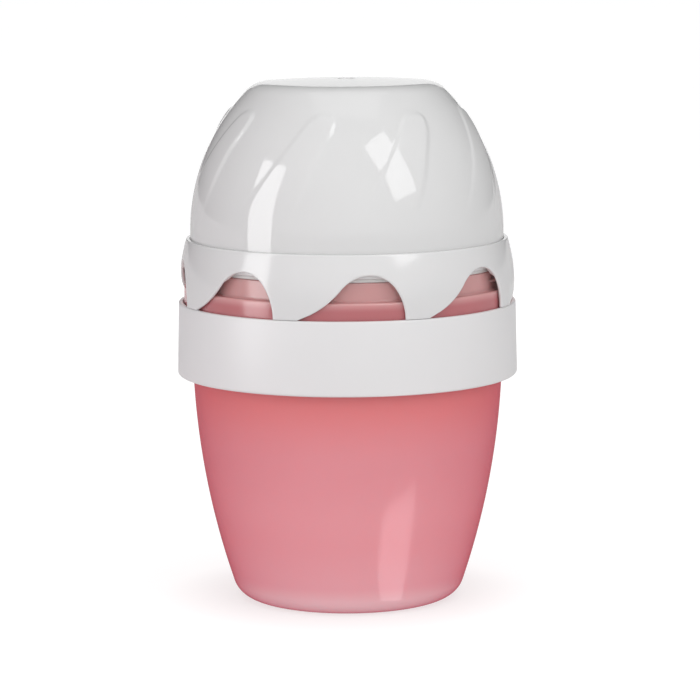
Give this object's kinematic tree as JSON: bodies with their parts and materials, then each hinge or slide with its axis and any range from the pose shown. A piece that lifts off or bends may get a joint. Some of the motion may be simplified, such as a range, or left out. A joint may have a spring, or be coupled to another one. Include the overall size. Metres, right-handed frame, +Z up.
{
  "type": "ice cream maker",
  "caption": "Hand-shaken ice cream maker: tinted cup for ice and salt, a mixing cup hung from a screw band, and a swirled dome over a collar with a dripping edge.",
  "frame": {"origin": "centre of the ring that the cup stands on, at the level of the table", "axes": "+Z up along the axis of every part; -Y is the front, where a window between two drips is square on"},
  "size_m": [0.111, 0.111, 0.1701],
  "materials": {
    "cup_tint": "smooth translucent",
    "mix_tint": "smooth translucent",
    "white_body": "satin",
    "milky_dome": "polished milky",
    "seal": "soft silicone"
  },
  "bodies": {
    "outer": {"outer_cup": "cup_tint"},
    "mixing": {"mixing_cup": "mix_tint", "cup_seal": "seal"},
    "band": {"grip_band": "white_body"},
    "lid": {"inner_lid": "white_body", "lid_seal": "seal"},
    "collar": {"drip_collar": "white_body"},
    "top": {"dome": "milky_dome"}
  },
  "joints": [
    {"name": "cup_rise", "type": "slide", "parent": "outer", "child": "mixing", "axis": [0, 0, 1], "range_m": [0, 0.0961]},
    {"name": "band_turn", "type": "hinge", "parent": "mixing", "child": "band", "pos_m": [0, 0, 0.086], "axis": [0, 0, 1], "range_deg": [0, 1080]},
    {"name": "lid_rise", "type": "slide", "parent": "mixing", "child": "lid", "axis": [0, 0, 1], "range_m": [0, 0.0321]},
    {"name": "collar_turn", "type": "hinge", "parent": "lid", "child": "collar", "pos_m": [0, 0, 0.11], "axis": [0, 0, 1], "range_deg": [0, 360]},
    {"name": "dome_lift", "type": "slide", "parent": "collar", "child": "top", "axis": [0, 0, 1], "range_m": [0, 0.07]}
  ],
  "couplings": [
    {"joint": "cup_rise", "follows": "band_turn", "m_per_rad": 0.005093},
    {"joint": "lid_rise", "follows": "collar_turn", "m_per_rad": 0.005093}
  ]
}
